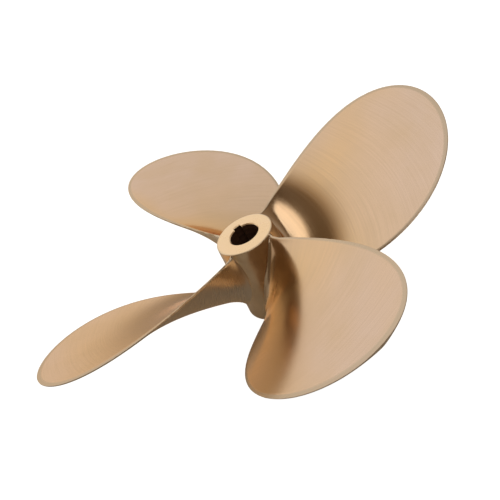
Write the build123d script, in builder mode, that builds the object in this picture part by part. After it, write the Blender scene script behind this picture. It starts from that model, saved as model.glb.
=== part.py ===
"""Four-blade, right-hand, inboard boat propeller: one bronze casting, split into hub and blades.

Frame, in millimetres: +Z runs along the shaft, from the hub's forward (large) end at z = 0 to its
aft (small) end, and the origin is the centre of the forward end. The hub stands on that end.
"""
from build123d import *
import os
from math import atan2, cos, pi, sin, sqrt

os.makedirs("parts", exist_ok=True)

# ---- overall sizes ----
blade_count = 4
tip_radius = 190.5           # half of a 381 mm (15 in) diameter
pitch = 290.0                # advance per turn, the same at every radius

# ---- hub ----
hub_length = 70.0
hub_forward_radius = 28.5
hub_aft_radius = 24.0
hub_edge_radius = 1.2        # rounding of the two outer rims

# ---- shaft taper and its keyway: 1 1/8 in shaft, taper 1 in 16 on diameter, 1/4 in key ----
bore_forward_radius = 14.2875
taper_on_radius = 1 / 32
bore_chamfer = 0.8
key_width = 6.35
key_depth = 3.175            # from the bore wall at the keyway's side
keyway_angle = 99.0          # degrees from the first blade's reference line

# ---- blade: developed outline, measured along the pitch helix at each radius ----
root_radius = 26.7           # where the span fraction is 0
root_margin = 4.9            # length of hub left bare at each end of the root
half_chord_linear = 70.2     # the next three widen the blade towards the tip
half_chord_square = 102.6
half_chord_cube = -49.9
root_offset = 1.9            # mid-chord line ahead of the reference line at the root
tip_skew = 36.6              # how far the mid-chord line curves towards the trailing edge
tip_rake = 33.1              # how far aft the tip lies of the root

# ---- blade thickness ----
root_thickness = 15.0
tip_thickness = 3.2
edge_thickness = 2.0
fillet_height = 13.0         # of the root's flare, out from the hub
fillet_width = 6.0           # of the flare on the hub, from each side of the blade
fillet_end_width = 3.0       # the same at the leading and trailing edges

# ---- grid that the blade's surfaces are drawn through ----
buried_depth = 8.5           # of the blank's root below the hub's smallest radius
tip_gap = 0.03               # share of the stretched span left flat at the tip
span_rows = 34
chord_columns = 17

# ---- worked out ----
span = tip_radius - root_radius
root_pitch_angle = atan2(pitch, 2 * pi * root_radius)
blade_height = hub_length / 2   # of the root's mid-chord point above the hub's forward end
half_chord_root = (hub_length / 2 - root_margin) / sin(root_pitch_angle)
buried_fraction = (min(hub_aft_radius, hub_forward_radius) - buried_depth - root_radius) / span


def hub_radius(z):
    """The hub's outer radius at height z: a straight cone."""
    return hub_forward_radius + (hub_aft_radius - hub_forward_radius) * z / hub_length


def bore_radius(z):
    """The shaft taper's radius at height z."""
    return bore_forward_radius - taper_on_radius * z


def flare(x, z):
    """Root flare, from 0 to 1: the cube of what is left of its height above the hub."""
    radius = root_radius + span * x
    rise = (radius - hub_radius(z)) / fillet_height
    return min(1.0, max(0.0, 1.0 - rise)) ** 3


def blade_point(x, w, side):
    """Point at span fraction x and chord fraction w (-1 leading edge, 1 trailing edge).

    Side 0 is the aft (driving) face, a true screw surface, and side 1 the forward one.
    The section is flat on the aft face and a parabola on the forward face.
    """
    radius = root_radius + span * x
    pitch_angle = atan2(pitch, 2 * pi * radius)
    widening = half_chord_root + x * (
        half_chord_linear + x * (half_chord_square + x * half_chord_cube)
    )
    half_chord = sqrt(1 - x) * widening
    middle = root_offset + tip_skew * x**3
    height = blade_height + tip_rake * x
    grown = flare(x, height + (middle + w * half_chord) * sin(pitch_angle))
    along = middle + w * (half_chord + fillet_end_width * grown)

    thickest = root_thickness + (tip_thickness - root_thickness) * x
    thickness = edge_thickness + (thickest - edge_thickness) * (1 - w**2)
    depth = side * thickness + (2 * side - 1) * fillet_width * grown * (1 - w**2)

    angle = (along * cos(pitch_angle) + depth * sin(pitch_angle)) / radius
    z = height + along * sin(pitch_angle) - depth * cos(pitch_angle)
    return Vector(radius * cos(angle), radius * sin(angle), z)


def blade_surface(side):
    """One side of the blade, drawn through rows that crowd together towards the tip."""
    rows = []
    for row in range(span_rows):
        stretched = (1 - tip_gap) * row / (span_rows - 1)
        x = buried_fraction + (1 - buried_fraction) * (1 - (1 - stretched) ** 2)
        columns = [2 * column / (chord_columns - 1) - 1 for column in range(chord_columns)]
        rows.append([blade_point(x, w, side) for w in columns])
    return Face.make_surface_from_array_of_points(rows, tol=0.01)


def blade_blank():
    """Closed solid of one blade on the +X side, its root buried in the hub."""
    aft = blade_surface(0)
    forward = blade_surface(1)
    strips = []
    for edge in aft.edges():
        partner = forward.edges().sort_by_distance(edge.position_at(0.5))[0]
        strips.append(Face.make_surface_from_curves(edge, partner))
    return Solid(Shell([aft, forward, *strips]))


# The hub's outside, solid, which also trims the blades' roots. Its seam lies between two blades.
with BuildPart() as hub_blank:
    with BuildSketch(Plane.XZ.rotated((0, 0, 180 / blade_count))):
        with BuildLine():
            Polyline(
                (0, 0),
                (hub_forward_radius, 0),
                (hub_aft_radius, hub_length),
                (0, hub_length),
                close=True,
            )
        make_face()
    revolve(axis=Axis.Z)

with BuildPart() as hub:
    add(hub_blank.part)
    rims = hub.edges().filter_by(GeomType.CIRCLE)
    fillet(rims, radius=hub_edge_radius)
    with BuildSketch(Plane.XZ):
        with BuildLine():
            Polyline(
                (0, 0),
                (bore_radius(0) + bore_chamfer, 0),
                (bore_radius(bore_chamfer), bore_chamfer),
                (bore_radius(hub_length - bore_chamfer), hub_length - bore_chamfer),
                (bore_radius(hub_length) + bore_chamfer, hub_length),
                (0, hub_length),
                close=True,
            )
        make_face()
    revolve(axis=Axis.Z, mode=Mode.SUBTRACT)
    for z in (0, hub_length):
        reach = bore_radius(z) + key_depth
        with BuildSketch(Plane.XY.rotated((0, 0, keyway_angle)).offset(z)):
            with Locations((reach / 2, 0)):
                Rectangle(reach, key_width)
    loft(mode=Mode.SUBTRACT)
hub.part.label = "hub"
export_step(hub.part, "parts/hub.step")

blank = blade_blank()
for number in range(blade_count):
    with BuildPart() as blade:
        add(blank.rotate(Axis.Z, 360 * number / blade_count))
        add(hub_blank.part, mode=Mode.SUBTRACT)
    blade.part.label = f"blade_{number + 1}"
    export_step(blade.part, f"parts/{blade.part.label}.step")
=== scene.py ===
"""Satin bronze boat propeller: four broad, skewed blades faired into a turned hub.

Every piece is a surface worked out in millimetres in the part's own frame: +Z along the shaft,
aft, and the origin at the centre of the hub's forward end. Meshes are written in metres.
"""
from math import cos, sin

import bpy
import numpy as np
from mathutils import Matrix, Vector


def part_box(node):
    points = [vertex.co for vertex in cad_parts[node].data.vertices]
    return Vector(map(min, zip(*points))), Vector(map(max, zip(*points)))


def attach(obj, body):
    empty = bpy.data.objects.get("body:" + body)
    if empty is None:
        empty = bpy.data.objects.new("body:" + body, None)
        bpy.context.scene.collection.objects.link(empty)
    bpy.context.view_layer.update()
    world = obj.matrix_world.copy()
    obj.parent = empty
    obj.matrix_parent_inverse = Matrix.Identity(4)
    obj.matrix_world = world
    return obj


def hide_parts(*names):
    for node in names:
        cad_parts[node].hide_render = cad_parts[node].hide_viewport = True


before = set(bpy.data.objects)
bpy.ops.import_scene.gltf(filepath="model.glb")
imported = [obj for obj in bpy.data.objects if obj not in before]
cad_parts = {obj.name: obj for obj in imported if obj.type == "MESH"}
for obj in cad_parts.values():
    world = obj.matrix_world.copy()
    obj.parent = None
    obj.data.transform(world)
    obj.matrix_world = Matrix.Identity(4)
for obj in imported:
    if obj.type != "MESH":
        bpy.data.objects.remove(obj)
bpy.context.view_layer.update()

MM = 0.001
hub_low, hub_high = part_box("hub")

# ---- hub, mm ----
BLADE_COUNT = 4
HUB_LENGTH = (hub_high.z - hub_low.z) / MM
HUB_FORWARD_RADIUS = 28.5
HUB_AFT_RADIUS = 24.0
HUB_RIM_RADIUS = 1.2          # rounding of the two outer rims
BORE_FORWARD_RADIUS = 14.2875
TAPER_ON_RADIUS = 1 / 32      # 1 in 16 on diameter
BORE_CHAMFER = 0.8
KEY_WIDTH = 6.35
KEY_DEPTH = 3.175             # from the bore's circle
KEYWAY_ANGLE = np.radians(99.0)

# ---- blade, mm, measured along the pitch helix ----
TIP_RADIUS = 190.5
PITCH = 290.0
ROOT_RADIUS = 26.7            # where the span is counted from
ROOT_MARGIN = 4.9             # hub left beyond each end of the root
HALF_CHORD = (70.2, 102.6, -49.9)   # how it widens with span, span squared and span cubed
ROOT_OFFSET = 1.9             # of the mid-chord line from the reference line
TIP_SKEW = 36.6
TIP_RAKE = 33.1
ROOT_THICKNESS = 15.0
TIP_THICKNESS = 3.2
EDGE_THICKNESS = 1.9
RIM_WIDTH = 4.4               # hand-finished band round the driving face, at the tip
RIM_ROOT_WIDTH = 1.2          # the same where the edges meet the hub
RIM_DROP = 0.55               # how far that band falls away at the edge
RIM_ROOT_SHARE = 0.4          # how strong that band is where the edges meet the hub
FILLET_HEIGHT = 13.0          # up the blade
FILLET_WIDTH = 6.5            # out from each face, at mid-chord
FILLET_END_WIDTH = 4.2        # out from each edge
BURIED = 0.4                  # of the blade's skin below the hub's
SPAN = TIP_RADIUS - ROOT_RADIUS
BLADE_HEIGHT = HUB_LENGTH / 2
ROOT_PITCH_ANGLE = np.arctan2(PITCH, 2 * np.pi * ROOT_RADIUS)
HALF_CHORD_ROOT = (HUB_LENGTH / 2 - ROOT_MARGIN) / np.sin(ROOT_PITCH_ANGLE)


# ---------------------------------------------------------------- meshes

def grid_faces(rows, columns, close_rows=False):
    """Quads of a grid whose columns join round, wound one way, as an array of corner indices."""
    last = rows if close_rows else rows - 1
    row, column = np.meshgrid(np.arange(last), np.arange(columns), indexing="ij")
    below, beside = (row + 1) % rows, (column + 1) % columns
    corners = (row * columns + column, row * columns + beside,
               below * columns + beside, below * columns + column)
    return np.stack(corners, -1).reshape(-1, 4)


def make_piece(name, points, faces, materials, face_material=None, sharp=30):
    """Mesh object from points in mm and lists of corners, smooth but for its sharp edges."""
    mesh = bpy.data.meshes.new(name)
    mesh.from_pydata((points * MM).tolist(), [], faces)
    for material in materials:
        mesh.materials.append(material)
    if face_material is not None:
        mesh.polygons.foreach_set("material_index", face_material)
    mesh.shade_smooth()
    mesh.set_sharp_from_angle(angle=np.radians(sharp))
    mesh.update()
    piece = bpy.data.objects.new(name, mesh)
    bpy.context.scene.collection.objects.link(piece)
    return piece


def set_attribute(piece, name, values):
    """One number per vertex that a material can read."""
    layer = piece.data.attributes.new(name, "FLOAT", "POINT")
    layer.data.foreach_set("value", np.ascontiguousarray(values, dtype=np.float32))


def set_uv(piece, uv):
    """UV map in metres over the surface, from one pair per vertex."""
    mesh = piece.data
    layer = mesh.uv_layers.new(name="grind")
    corner = np.zeros(len(mesh.loops), dtype=np.int32)
    mesh.loops.foreach_get("vertex_index", corner)
    layer.data.foreach_set("uv", (uv[corner] * MM).astype(np.float32).ravel())


def hub_radius(z):
    """Radius of the hub's outside at height z: a straight cone."""
    return HUB_FORWARD_RADIUS + (HUB_AFT_RADIUS - HUB_FORWARD_RADIUS) * z / HUB_LENGTH


def bore_radius(z):
    """Radius of the bore at height z: a straight cone, smaller aft."""
    return BORE_FORWARD_RADIUS - TAPER_ON_RADIUS * z


def developed_outline(x):
    """Mid-chord line and half chord at span fraction x.

    The half chord is a cubic of x times the square root of 1 - x, which rounds the tip. The
    mid-chord line leaves the reference line with the cube of x, which is the skew.
    """
    first, second, third = HALF_CHORD
    cubic = HALF_CHORD_ROOT + x * (first + x * (second + x * third))
    half = np.sqrt(np.clip(1 - x, 0, None)) * cubic
    return ROOT_OFFSET + TIP_SKEW * x**3, half


def rim_distance(along, radius):
    """Shortest distance in the developed plane from each point to the blade's outline.

    The outline is stepped closer together towards the tip, as the square of the step, and starts
    inside the hub.
    """
    steps, inside_hub = 700, 1.2
    x = 1 - np.linspace(inside_hub, 0, steps) ** 2
    middle, half = developed_outline(x)
    edge_along = np.concatenate((middle - half, middle + half))
    edge_radius = np.tile(ROOT_RADIUS + SPAN * x, 2)
    nearest = [
        np.hypot(a[:, None] - edge_along, r[:, None] - edge_radius).min(1)
        for a, r in zip(along, radius)
    ]
    return np.array(nearest)


def blade_section(radius, start, w, forward, edge):
    """Points of the blade at a radius, as angle and height, with the shares of rim and fillet.

    A point goes along the chord of a screw surface of constant pitch, by w half chords from the
    mid-chord line, and then square to that surface by a depth. Aft, the depth is nought, and
    forward it is a parabola across the chord. Near the outline the two depths meet in a half
    circle, and the aft face falls away along the rim. Near the hub, a quarter ellipse spreads
    both faces into a fillet, which runs out along the hub.
    """
    x = (radius - ROOT_RADIUS) / SPAN
    slope = np.arctan2(PITCH, 2 * np.pi * radius)
    middle, half = developed_outline(x)
    left = np.clip(1 - (radius - start - BURIED) / FILLET_HEIGHT, 0, 1)
    fillet = 1 - np.sqrt(1 - left**2)
    along = middle + w * (half + FILLET_END_WIDTH * fillet)

    nose = EDGE_THICKNESS / 2
    round_off = np.sqrt(nose**2 - np.clip(nose - edge, 0, nose) ** 2)
    rim_width = RIM_ROOT_WIDTH + (RIM_WIDTH - RIM_ROOT_WIDTH) * np.clip(x, 0, 1)
    rim = np.clip(1 - edge / rim_width, 0, 1) * (1 - fillet) * np.clip(RIM_ROOT_SHARE + x, 0, 1)
    crown = 1 - w**2
    thickest = ROOT_THICKNESS + (TIP_THICKNESS - ROOT_THICKNESS) * x
    bulge = np.clip(thickest - EDGE_THICKNESS, 0, None) * crown
    spread = FILLET_WIDTH * fillet * crown
    aft_depth = nose - round_off + RIM_DROP * rim * round_off / nose - spread
    depth = np.where(forward, nose + round_off + bulge + spread, aft_depth)

    z = BLADE_HEIGHT + TIP_RAKE * x + along * np.sin(slope) - depth * np.cos(slope)
    angle = (along * np.cos(slope) + depth * np.sin(slope)) / radius
    return angle, z, along, rim, fillet


def blade_points(turn, rows=170, half_columns=76):
    """Closed grid of one blade: rows run from just inside the hub to the tip, columns round it.

    The first row follows the hub's cone, found by repeating from a guess, and the last is the tip.
    Across the chord, the columns are spaced as the cosine of equal turns: aft, then forward.
    """
    turn_round = np.arange(2 * half_columns) * np.pi / half_columns
    w, forward = -np.cos(turn_round), turn_round > np.pi
    start = np.full_like(w, ROOT_RADIUS)
    guesses = 4
    for _ in range(guesses):
        _, z, *_ = blade_section(start, start, w, forward, RIM_WIDTH)
        start = hub_radius(z) - BURIED

    crowding = 1.35                           # of the rows at the fillet, and a square at the tip
    stretched = np.linspace(0, 1, rows)[:, None] ** crowding
    outward = 1 - (1 - stretched) ** 2
    radius = start + (TIP_RADIUS - start) * outward
    middle, half = developed_outline((radius - ROOT_RADIUS) / SPAN)
    edge = rim_distance(middle + w * half, radius)
    angle, z, along, rim, fillet = blade_section(radius, start, w, forward, edge)
    angle = angle + turn
    points = np.stack((radius * np.cos(angle), radius * np.sin(angle), z), -1)
    back = np.broadcast_to(forward, rim.shape)
    return points, np.stack((along, radius), -1), rim * ~back, fillet, back


def make_blade(number, materials):
    """One blade as a closed skin, with its grinding map and its rim, root and back shares."""
    points, uv, rim, fillet, back = blade_points(2 * np.pi * number / BLADE_COUNT)
    rows, columns = rim.shape
    tip = (rows - 1) * columns
    kept = tip + 1                            # the tip's row is one point
    body = grid_faces(rows - 1, columns)
    last = (rows - 2) * columns + np.arange(columns)
    fan = [(int(a), int(b), tip) for a, b in zip(last, np.roll(last, -1))]
    root_cap = [tuple(range(columns - 1, -1, -1))]
    piece = make_piece(f"blade_{number + 1}_skin", points.reshape(-1, 3)[:kept],
                       body.tolist() + fan + root_cap, materials, sharp=60)
    set_attribute(piece, "rim", rim.reshape(-1)[:kept])
    set_attribute(piece, "root", fillet.reshape(-1)[:kept])
    set_attribute(piece, "back", back.reshape(-1)[:kept])
    set_uv(piece, uv.reshape(-1, 2)[:kept])
    return piece


def bore_outline(bore, share):
    """Polar outline of the keyed bore: a circle, with straight keyway sides and a flat bottom.

    share runs from 0 to 1 round the hub, starting opposite the keyway. The corners stay at fixed
    shares whatever the bore's radius, so rows join corner to corner.
    """
    mouth = np.arcsin(KEY_WIDTH / 2 / bore)
    floor = np.arctan2(KEY_WIDTH / 2, bore + KEY_DEPTH)
    corners = (0, 0.44, 0.46, 0.54, 0.56, 1)
    turns = (-np.pi, -mouth, -floor, floor, mouth, np.pi)
    angle = np.interp(share, corners, turns)
    size = np.abs(angle)
    least, slack = 0.01, 1e-9                 # so that nothing divides by nought or slips a corner
    side = KEY_WIDTH / 2 / np.sin(np.clip(size, least, np.pi / 2))
    radius = np.where(size <= floor + slack, (bore + KEY_DEPTH) / np.cos(angle), side)
    radius = np.where(size >= mouth - slack, bore, radius)
    return angle, radius


def make_hub(materials, columns=400):
    """The hub as a closed ring: its profile goes up the outside and down the keyed bore.

    Every profile step is a circle, or the bore's outline at its own radius. The end faces are
    rulings between the two, and the outer rims are quarter circles. A circle's points stand at
    the same angles as the bore's at its height.
    """
    share = np.arange(columns) / columns
    rim_steps, side_steps, bore_steps = 7, 30, 24
    r = HUB_RIM_RADIUS
    quarter = np.linspace(0, np.pi / 2, rim_steps)
    outside = [(hub_radius(0) - r + r * np.sin(q), r - r * np.cos(q)) for q in quarter]
    outside += [(hub_radius(z), z) for z in np.linspace(r, HUB_LENGTH - r, side_steps)[1:-1]]
    outside += [(hub_radius(HUB_LENGTH) - r + r * np.cos(q), HUB_LENGTH - r + r * np.sin(q))
                for q in quarter]
    down = np.linspace(HUB_LENGTH - BORE_CHAMFER, BORE_CHAMFER, bore_steps)
    inside = [(bore_radius(HUB_LENGTH) + BORE_CHAMFER, HUB_LENGTH)]
    inside += [(bore_radius(z), z) for z in down]
    inside += [(bore_radius(0) + BORE_CHAMFER, 0)]

    circles = [(bore_outline(bore_radius(z), share)[0], radius, z) for radius, z in outside]
    keyed = [(*bore_outline(bore, share), z) for bore, z in inside]
    rows = []
    for angle, radius, z in circles + keyed:
        turned = angle + KEYWAY_ANGLE
        rows.append(np.stack((radius * np.cos(turned), radius * np.sin(turned),
                              np.full(columns, z)), -1))
    points = np.concatenate(rows)
    faces = grid_faces(len(rows), columns, close_rows=True)
    strip = np.repeat(np.arange(len(rows)), columns)
    side, end_face, bore = 0, 1, 2            # slots
    slot = np.full(len(faces), side)
    slot[strip >= len(outside)] = bore
    aft_face, aft_chamfer, forward_face = len(outside) - 1, len(outside), len(rows) - 1
    slot[np.isin(strip, (aft_face, aft_chamfer, forward_face))] = end_face
    return make_piece("hub_skin", points, faces.tolist(), materials,
                      face_material=slot.astype(np.int32), sharp=25)


# ---------------------------------------------------------------- materials

def linear(hex_colour):
    """sRGB hex colour as linear RGBA."""
    channels = np.array([int(hex_colour[i:i + 2], 16) for i in (1, 3, 5)]) / 255
    straight, knee, lift, power = 12.92, 0.04045, 0.055, 2.4
    curved = ((channels + lift) / (1 + lift)) ** power
    return (*np.where(channels <= knee, channels / straight, curved).tolist(), 1.0)


def repeats(*sizes):
    """How many times a metre each size in mm repeats, as a pattern's scale."""
    return tuple(1 / (size * MM) for size in sizes)


def add_node(tree, kind, inputs=None, **settings):
    """Adds a node with its settings. Its inputs, by number or name, are plain values or links.

    The numbers of a Map Range are 0 value, 1 and 2 from, 3 and 4 to; those of a Mix are 0 factor,
    2 and 3 two numbers, 6 and 7 two colours.
    """
    node = tree.nodes.new(kind)
    for key, value in settings.items():
        setattr(node, key, value)
    for key, value in (inputs or {}).items():
        if isinstance(value, bpy.types.NodeSocket):
            tree.links.new(value, node.inputs[key])
        else:
            node.inputs[key].default_value = value
    return node


def new_material(name):
    """Material with an empty node tree."""
    material = bpy.data.materials.new(name)
    material.use_nodes = True
    material.node_tree.nodes.clear()
    return material, material.node_tree


def satin_bronze():
    """Propeller bronze, belt ground to a satin finish.

    The belt runs across the blade, so its lines lie along the chord, which also draws the gloss
    out across them. Real lines are 0.1 mm apart, and these are drawn about 1 mm apart so that
    they show. Uneven pressure leaves clouds and patches a hand wide, golden near the hub and
    pinker towards the tip. The rim band is filed by hand, so it is greyer and rougher. Towards
    the hub the belt gives way to a buff, so it is smoother. The forward side has a coarser grit,
    so it is duller, and it is painted paler: painted light, brighter than the lamps make it.
    """
    material, tree = new_material("satin_ground_bronze")
    grind = add_node(tree, "ShaderNodeUVMap", uv_map="grind").outputs[0]
    radius = add_node(tree, "ShaderNodeSeparateXYZ", {0: grind}).outputs["Y"]
    rim = add_node(tree, "ShaderNodeAttribute", attribute_name="rim").outputs["Fac"]
    root = add_node(tree, "ShaderNodeAttribute", attribute_name="root").outputs["Fac"]
    back = add_node(tree, "ShaderNodeAttribute", attribute_name="back").outputs["Fac"]
    solid = add_node(tree, "ShaderNodeTexCoord").outputs["Object"]

    line_length, line_spacing = 71.4, 1.25    # mm, along the chord and across
    fine_length, fine_spacing = 22.2, 0.4167
    (cloud_scale,) = repeats(45.45)
    (patch_scale,) = repeats(111.1)
    coarse_place = add_node(tree, "ShaderNodeMapping", {
        0: grind, "Scale": (*repeats(line_length, line_spacing), 1)})
    lines = add_node(tree, "ShaderNodeTexNoise", {
        0: coarse_place.outputs[0], "Scale": 1.0, "Detail": 3.0, "Roughness": 0.6,
        "Distortion": 0.1}).outputs[0]
    fine_place = add_node(tree, "ShaderNodeMapping", {
        0: grind, "Scale": (*repeats(fine_length, fine_spacing), 1)})
    fine = add_node(tree, "ShaderNodeTexNoise", {
        0: fine_place.outputs[0], "Scale": 1.0, "Detail": 2.0}).outputs[0]
    clouds = add_node(tree, "ShaderNodeTexNoise", {
        0: solid, "Scale": cloud_scale, "Detail": 4.0, "Roughness": 0.55}).outputs[0]
    patches = add_node(tree, "ShaderNodeTexNoise", {
        0: solid, "Scale": patch_scale, "Detail": 1.0, "Distortion": 0.6}).outputs[0]

    patch_share = add_node(tree, "ShaderNodeMapRange", {
        0: patches, 1: 0.36, 2: 0.64, 3: 0.0, 4: 0.55}).outputs[0]
    tip_share = add_node(tree, "ShaderNodeMapRange", {
        0: radius, 1: 0.07, 2: 0.17, 3: 0.0, 4: 0.45}).outputs[0]
    pinker = add_node(tree, "ShaderNodeMath", {
        0: patch_share, 1: tip_share}, operation="ADD").outputs[0]
    plain = add_node(tree, "ShaderNodeMix", {
        0: pinker, 6: linear("#DDB686"), 7: linear("#D8BCA6")}, data_type="RGBA").outputs[2]
    cloud_share = add_node(tree, "ShaderNodeMapRange", {
        0: clouds, 1: 0.40, 2: 0.70, 3: 0.0, 4: 0.5}).outputs[0]
    patched = add_node(tree, "ShaderNodeMix", {
        0: cloud_share, 6: plain, 7: linear("#CFB08A")}, data_type="RGBA").outputs[2]
    line_share = add_node(tree, "ShaderNodeMapRange", {
        0: lines, 1: 0.3, 2: 0.7, 3: 0.0, 4: 0.28}).outputs[0]
    streaked = add_node(tree, "ShaderNodeMix", {
        0: line_share, 6: patched, 7: linear("#C4A686")}, data_type="RGBA").outputs[2]
    # painted shade: in the fillet's crease by the hub the colour goes greyer and a little darker
    fillet_shade_share = add_node(tree, "ShaderNodeMapRange", {0: root, 2: 0.6, 4: 0.75}).outputs[0]
    faired = add_node(tree, "ShaderNodeMix", {
        0: fillet_shade_share, 6: streaked, 7: linear("#CDB496")}, data_type="RGBA").outputs[2]
    # painted light: the forward side is coloured paler than the metal, so it and its reflections
    # look brighter
    forward_painted_paler = add_node(tree, "ShaderNodeMix", {
        0: back, 6: faired, 7: linear("#DCCAB0")}, data_type="RGBA").outputs[2]
    rim_share = add_node(tree, "ShaderNodeMapRange", {0: rim, 2: 0.3, 4: 0.8}).outputs[0]
    colour = add_node(tree, "ShaderNodeMix", {
        0: rim_share, 6: forward_painted_paler, 7: linear("#C0AB90")}, data_type="RGBA").outputs[2]

    ground = add_node(tree, "ShaderNodeMapRange", {
        0: lines, 1: 0.25, 2: 0.75, 3: 0.16, 4: 0.24}).outputs[0]
    buffed = add_node(tree, "ShaderNodeMapRange", {
        0: radius, 1: 0.060, 2: 0.130, 3: -0.05, 4: 0.0}).outputs[0]
    filed = add_node(tree, "ShaderNodeMapRange", {0: rim, 2: 0.3, 4: 0.10}).outputs[0]
    smoother = add_node(tree, "ShaderNodeMath", {0: ground, 1: buffed}, operation="ADD").outputs[0]
    edged = add_node(tree, "ShaderNodeMath", {0: smoother, 1: filed}, operation="ADD").outputs[0]
    rough = add_node(tree, "ShaderNodeMath", {
        0: back, 1: 0.14, 2: edged}, operation="MULTIPLY_ADD").outputs[0]

    height = add_node(tree, "ShaderNodeMath", {0: lines, 1: fine}, operation="ADD").outputs[0]
    bump = add_node(tree, "ShaderNodeBump", {
        "Height": height, "Strength": 0.10, "Distance": 0.0001}).outputs[0]
    across = add_node(tree, "ShaderNodeTangent", direction_type="UV_MAP", uv_map="grind").outputs[0]
    shader = add_node(tree, "ShaderNodeBsdfPrincipled", {
        "Metallic": 1.0, "Specular Tint": linear("#F3DEC6"), "Anisotropic": 0.45,
        "Tangent": across, "Base Color": colour, "Roughness": rough, "Normal": bump})
    add_node(tree, "ShaderNodeOutputMaterial", {0: shader.outputs[0]})
    return material


def turned_bronze():
    """Faced on a lathe: bright, with rings round the axis.

    A real feed leaves rings 0.1 mm apart. These are 0.6 mm apart so that they show.
    """
    material, tree = new_material("lathe_turned_bronze")
    ring_spacing = 0.6                        # mm
    (cloud_scale,) = repeats(16.67)
    solid = add_node(tree, "ShaderNodeTexCoord").outputs["Object"]
    flat = add_node(tree, "ShaderNodeMapping", {0: solid, "Scale": (1, 1, 0)}).outputs[0]
    distance = add_node(tree, "ShaderNodeVectorMath", {0: flat}, operation="LENGTH").outputs[1]
    phase = add_node(tree, "ShaderNodeMath", {
        0: distance, 1: 2 * np.pi / (ring_spacing * MM)}, operation="MULTIPLY").outputs[0]
    rings = add_node(tree, "ShaderNodeMath", {0: phase}, operation="SINE").outputs[0]
    clouds = add_node(tree, "ShaderNodeTexNoise", {
        0: solid, "Scale": cloud_scale, "Detail": 3.0}).outputs[0]
    share = add_node(tree, "ShaderNodeMapRange", {0: clouds, 1: 0.3, 2: 0.7}).outputs[0]
    colour = add_node(tree, "ShaderNodeMix", {
        0: share, 6: linear("#EECB9E"), 7: linear("#F1D0A6")}, data_type="RGBA").outputs[2]
    rough = add_node(tree, "ShaderNodeMapRange", {
        0: clouds, 1: 0.3, 2: 0.7, 3: 0.24, 4: 0.32}).outputs[0]
    bump = add_node(tree, "ShaderNodeBump", {
        "Height": rings, "Strength": 0.1, "Distance": 0.00002}).outputs[0]
    shader = add_node(tree, "ShaderNodeBsdfPrincipled", {
        "Metallic": 1.0, "Base Color": colour, "Roughness": rough, "Normal": bump})
    add_node(tree, "ShaderNodeOutputMaterial", {0: shader.outputs[0]})
    return material


def buffed_bronze():
    """Hub side, buffed by hand between the blades: glossy and browner, gently wavy.

    The waves are 11 mm across and the grit leaves marks round the axis, 1.5 mm apart so that
    they show.
    """
    material, tree = new_material("hand_buffed_bronze")
    solid = add_node(tree, "ShaderNodeTexCoord").outputs["Object"]
    mark_length, mark_spacing = 16.67, 1.4286    # mm, round the axis and along it
    (wave_scale,) = repeats(11.11)
    (cloud_scale,) = repeats(22.22)
    tall = add_node(tree, "ShaderNodeMapping", {
        0: solid, "Scale": repeats(mark_length, mark_length, mark_spacing)}).outputs[0]
    marks = add_node(tree, "ShaderNodeTexNoise", {0: tall, "Scale": 1.0, "Detail": 3.0}).outputs[0]
    waves = add_node(tree, "ShaderNodeTexNoise", {
        0: solid, "Scale": wave_scale, "Detail": 2.0, "Distortion": 0.6}).outputs[0]
    clouds = add_node(tree, "ShaderNodeTexNoise", {
        0: solid, "Scale": cloud_scale, "Detail": 4.0}).outputs[0]
    share = add_node(tree, "ShaderNodeMapRange", {0: clouds, 1: 0.35, 2: 0.65}).outputs[0]
    colour = add_node(tree, "ShaderNodeMix", {
        0: share, 6: linear("#D8BC96"), 7: linear("#E6CAA4")}, data_type="RGBA").outputs[2]
    rough = add_node(tree, "ShaderNodeMapRange", {
        0: marks, 1: 0.3, 2: 0.7, 3: 0.28, 4: 0.38}).outputs[0]
    wavy = add_node(tree, "ShaderNodeBump", {
        "Height": waves, "Strength": 0.8, "Distance": 0.0010}).outputs[0]
    bump = add_node(tree, "ShaderNodeBump", {
        "Height": marks, "Strength": 0.2, "Distance": 0.0001, "Normal": wavy}).outputs[0]
    shader = add_node(tree, "ShaderNodeBsdfPrincipled", {
        "Metallic": 1.0, "Base Color": colour, "Roughness": rough, "Normal": bump})
    add_node(tree, "ShaderNodeOutputMaterial", {0: shader.outputs[0]})
    return material


def reamed_bore():
    """Reamed taper, dark as painted shade: dull brown, with the reamer's rings along the bore.

    Real rings are 0.2 mm apart, and these are 1.1 mm apart so that they show.
    """
    material, tree = new_material("shade_darkened_bore")
    solid = add_node(tree, "ShaderNodeTexCoord").outputs["Object"]
    ring_length, ring_spacing = 33.33, 1.1111    # mm, round the bore and along it
    tall = add_node(tree, "ShaderNodeMapping", {
        0: solid, "Scale": repeats(ring_length, ring_length, ring_spacing)}).outputs[0]
    rings = add_node(tree, "ShaderNodeTexNoise", {0: tall, "Scale": 1.0, "Detail": 2.0}).outputs[0]
    share = add_node(tree, "ShaderNodeMapRange", {0: rings, 1: 0.3, 2: 0.7}).outputs[0]
    # painted shade: the bore's dark brown stands in for the little light that gets inside
    colour = add_node(tree, "ShaderNodeMix", {
        0: share, 6: linear("#4E3324"), 7: linear("#664630")}, data_type="RGBA").outputs[2]
    rough = add_node(tree, "ShaderNodeMapRange", {
        0: rings, 1: 0.3, 2: 0.7, 3: 0.5, 4: 0.65}).outputs[0]
    bump = add_node(tree, "ShaderNodeBump", {
        "Height": rings, "Strength": 0.3, "Distance": 0.0001}).outputs[0]
    shader = add_node(tree, "ShaderNodeBsdfPrincipled", {
        "Metallic": 0.5, "Base Color": colour, "Roughness": rough, "Normal": bump})
    add_node(tree, "ShaderNodeOutputMaterial", {0: shader.outputs[0]})
    return material


# ---------------------------------------------------------------- studio

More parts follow.
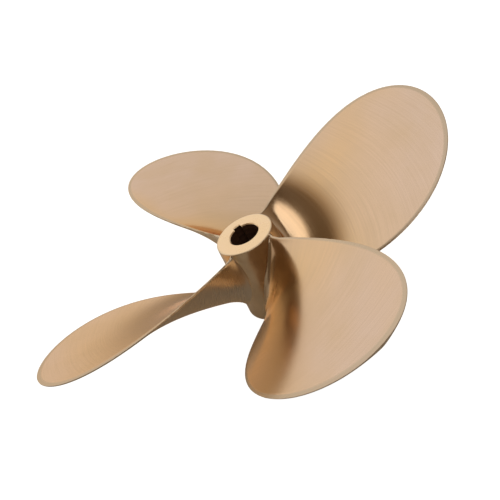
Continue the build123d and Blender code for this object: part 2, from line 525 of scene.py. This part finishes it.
def add_softbox(name, place, target, width, height, power):
    """Rectangular area light at a place, turned to face a target."""
    lamp = bpy.data.lights.new(name, "AREA")
    lamp.shape = "RECTANGLE"
    lamp.size = width
    lamp.size_y = height
    lamp.energy = power
    box = bpy.data.objects.new(name, lamp)
    box.location = place
    box.rotation_euler = (Vector(target) - Vector(place)).to_track_quat("-Z", "Y").to_euler()
    bpy.context.scene.collection.objects.link(box)


def add_world():
    """Studio as a sky of directions: a pale ceiling and back wall, greyer side walls, a dim front.

    Each panel is a ramp of how far a direction leans its way, and the brightest panel shows. The
    dim front is warm, and less light comes from the right. To look at, the walls are plain white.
    """
    world = bpy.data.worlds.new("studio")
    world.use_nodes = True
    tree = world.node_tree
    tree.nodes.clear()
    panels = (                                # lean, where it begins and is full, and strength
        ((0, 1, 1), 0.62, 0.92, 0.97),        # ceiling, from overhead to the back
        ((0, 1, 0), 0.05, 0.45, 0.92),        # back wall
        ((1, 0, 0), 0.55, 0.95, 0.60),        # right wall
        ((-1, 0, 0.5), 1.00, 1.12, 0.60),     # left wall, from its middle up
    )
    way = add_node(tree, "ShaderNodeTexCoord").outputs["Generated"]
    pale = 0.13                               # the dim front
    for lean, begin, full, strength in panels:
        toward = add_node(tree, "ShaderNodeVectorMath", {0: way, 1: lean},
                          operation="DOT_PRODUCT").outputs["Value"]
        panel = add_node(tree, "ShaderNodeMapRange", {
            0: toward, 1: begin, 2: full, 3: 0.0, 4: strength}).outputs[0]
        pale = add_node(tree, "ShaderNodeMath", {
            0: pale, 1: panel}, operation="MAXIMUM").outputs[0]
    side = add_node(tree, "ShaderNodeSeparateXYZ", {0: way}).outputs["X"]
    right = add_node(tree, "ShaderNodeMapRange", {
        0: side, 1: 0.1, 2: 0.9, 3: 1.0, 4: 0.72}).outputs[0]
    room = add_node(tree, "ShaderNodeMath", {0: pale, 1: right}, operation="MULTIPLY").outputs[0]
    wall_white = 0.97
    seen = add_node(tree, "ShaderNodeLightPath").outputs["Is Camera Ray"]
    level = add_node(tree, "ShaderNodeMix", {0: seen, 2: room, 3: wall_white}).outputs[0]
    warmth = add_node(tree, "ShaderNodeMapRange", {0: pale, 1: 0.2, 2: 0.8}).outputs[0]
    tint = add_node(tree, "ShaderNodeMix", {
        0: warmth, 6: linear("#FFDEB8"), 7: linear("#FFFFFF")}, data_type="RGBA").outputs[2]
    shown = add_node(tree, "ShaderNodeMix", {
        0: seen, 6: tint, 7: linear("#FFFFFF")}, data_type="RGBA").outputs[2]
    background = add_node(tree, "ShaderNodeBackground", {"Strength": level, "Color": shown})
    add_node(tree, "ShaderNodeOutputWorld", {0: background.outputs[0]})
    bpy.context.scene.world = world


def add_floor():
    """Large plain floor just under the hub's forward end.

    It is white to look at. In reflections it is dim near the part and paler far behind it. In
    reflections of reflections, as between the blades, it is pale beside and behind the part, but
    not in front.
    """
    half, gap = 3000.0, 0.2                   # mm
    floor_white = 0.94
    z = hub_low.z / MM - gap
    corners = np.array([(-half, -half, z), (half, -half, z), (half, half, z), (-half, half, z)])
    material, tree = new_material("white_studio_floor")
    path = add_node(tree, "ShaderNodeLightPath").outputs
    solid = add_node(tree, "ShaderNodeTexCoord").outputs["Object"]
    back = add_node(tree, "ShaderNodeSeparateXYZ", {0: solid}).outputs["Y"]
    far = add_node(tree, "ShaderNodeMapRange", {
        0: back, 1: -0.05, 2: 0.8, 3: 0.03, 4: 0.55}).outputs[0]
    past_first = 1.5                          # of bounces: a reflection of a reflection
    again = add_node(tree, "ShaderNodeMath", {
        0: path["Ray Depth"], 1: past_first}, operation="GREATER_THAN").outputs[0]
    beside = add_node(tree, "ShaderNodeMapRange", {
        0: back, 1: -0.16, 2: 0.03, 3: 0.05, 4: 0.85}).outputs[0]
    mirrored = add_node(tree, "ShaderNodeMix", {0: again, 2: far, 3: beside}).outputs[0]
    glow = add_node(tree, "ShaderNodeMix", {
        0: path["Is Camera Ray"], 2: mirrored, 3: floor_white}).outputs[0]
    shader = add_node(tree, "ShaderNodeBsdfPrincipled", {
        "Base Color": linear("#A8A29A"), "Roughness": 0.9,
        "Emission Color": linear("#FFFFFF"), "Emission Strength": glow})
    add_node(tree, "ShaderNodeOutputMaterial", {0: shader.outputs[0]})
    make_piece("floor", corners, [(0, 1, 2, 3)], [material])


def add_camera():
    """Camera that looks down on the aft face, rolled so that the shaft leans to the left."""
    azimuth, elevation, roll = -1.5606, 0.5933, 0.5384
    distance, aside, below = 3.135, -0.0259, -0.0664   # in tip radii, from the aft face's centre
    focal_share = 759.7 / 500                         # focal length over the frame's width
    tip = TIP_RADIUS * MM
    back = Vector((cos(elevation) * cos(azimuth), cos(elevation) * sin(azimuth), sin(elevation)))
    level = Vector((-sin(azimuth), cos(azimuth), 0))
    upright = back.cross(level)
    right = cos(roll) * level - sin(roll) * upright
    up = back.cross(right)
    aft_centre = Vector((0, 0, hub_high.z))
    place = aft_centre + (back * distance - right * aside + up * below) * tip
    data = bpy.data.cameras.new("camera")
    data.sensor_width = 36.0
    data.lens = data.sensor_width * focal_share
    camera = bpy.data.objects.new("camera", data)
    turn = Matrix((right, up, back)).transposed().to_4x4()
    camera.matrix_world = Matrix.Translation(place) @ turn
    bpy.context.scene.collection.objects.link(camera)
    bpy.context.scene.camera = camera


# ---------------------------------------------------------------- assembly

add_camera()
satin, turned, buffed, bore = satin_bronze(), turned_bronze(), buffed_bronze(), reamed_bore()

hub = make_hub([buffed, turned, bore])
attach(hub, "root")
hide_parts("hub")

for number in range(BLADE_COUNT):
    blade = make_blade(number, [satin])
    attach(blade, "root")
    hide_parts(f"blade_{number + 1}")

add_world()
add_floor()
add_softbox("front", place=(0.20, -0.81, 0.90), target=(0, 0, 0.05),
            width=1.40, height=0.42, power=2.5)
bpy.context.scene.view_settings.view_transform = "Standard"
